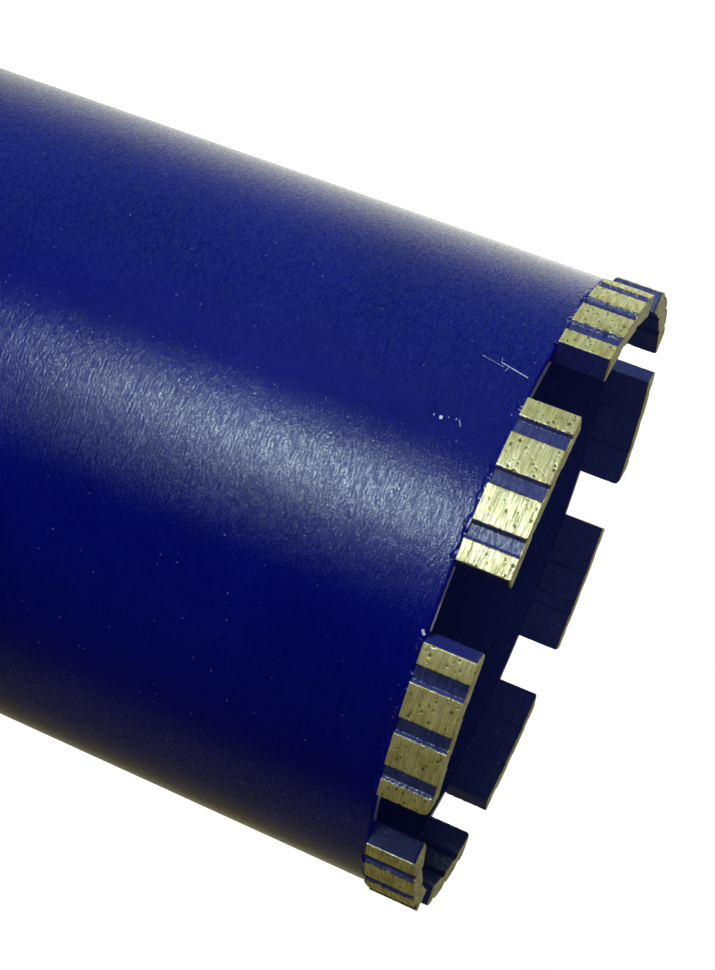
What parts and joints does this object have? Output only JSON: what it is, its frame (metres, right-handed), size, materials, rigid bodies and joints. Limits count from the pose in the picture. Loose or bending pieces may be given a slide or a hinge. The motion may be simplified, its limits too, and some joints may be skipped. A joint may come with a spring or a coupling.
{
  "type": "diamond core bit",
  "caption": "Thin-walled core bit for concrete: painted steel barrel, grooved diamond segments round the mouth, welded back plate and threaded drive hub.",
  "frame": {"origin": "centre of the drive hub's open face, on the barrel's axis, where the bit stands", "axes": "+Z along the barrel's axis from the hub towards the cutting end, +X through the middle of segment_1"},
  "size_m": [0.1017, 0.102, 0.1936],
  "materials": {
    "barrel_paint": "satin navy blue enamel over brushed steel",
    "plate_paint": "satin navy blue enamel over turned steel",
    "hub_paint": "satin navy blue enamel, bare steel thread",
    "weld_paint": "navy blue enamel over rippled weld metal",
    "segment_matrix": "ground sintered bronze with exposed diamond grit, blue enamel in the grooves"
  },
  "bodies": {
    "root": {"barrel_tube": "barrel_paint", "back_plate": "plate_paint", "drive_hub": "hub_paint", "plate_weld": "weld_paint", "hub_weld": "weld_paint", "segment_1": "segment_matrix", "segment_2": "segment_matrix", "segment_3": "segment_matrix", "segment_4": "segment_matrix", "segment_5": "segment_matrix", "segment_6": "segment_matrix", "segment_7": "segment_matrix", "segment_8": "segment_matrix", "segment_9": "segment_matrix", "segment_weld_1": "weld_paint", "segment_weld_2": "weld_paint", "segment_weld_3": "weld_paint", "segment_weld_4": "weld_paint", "segment_weld_5": "weld_paint", "segment_weld_6": "weld_paint", "segment_weld_7": "weld_paint", "segment_weld_8": "weld_paint", "segment_weld_9": "weld_paint"}
  },
  "joints": []
}
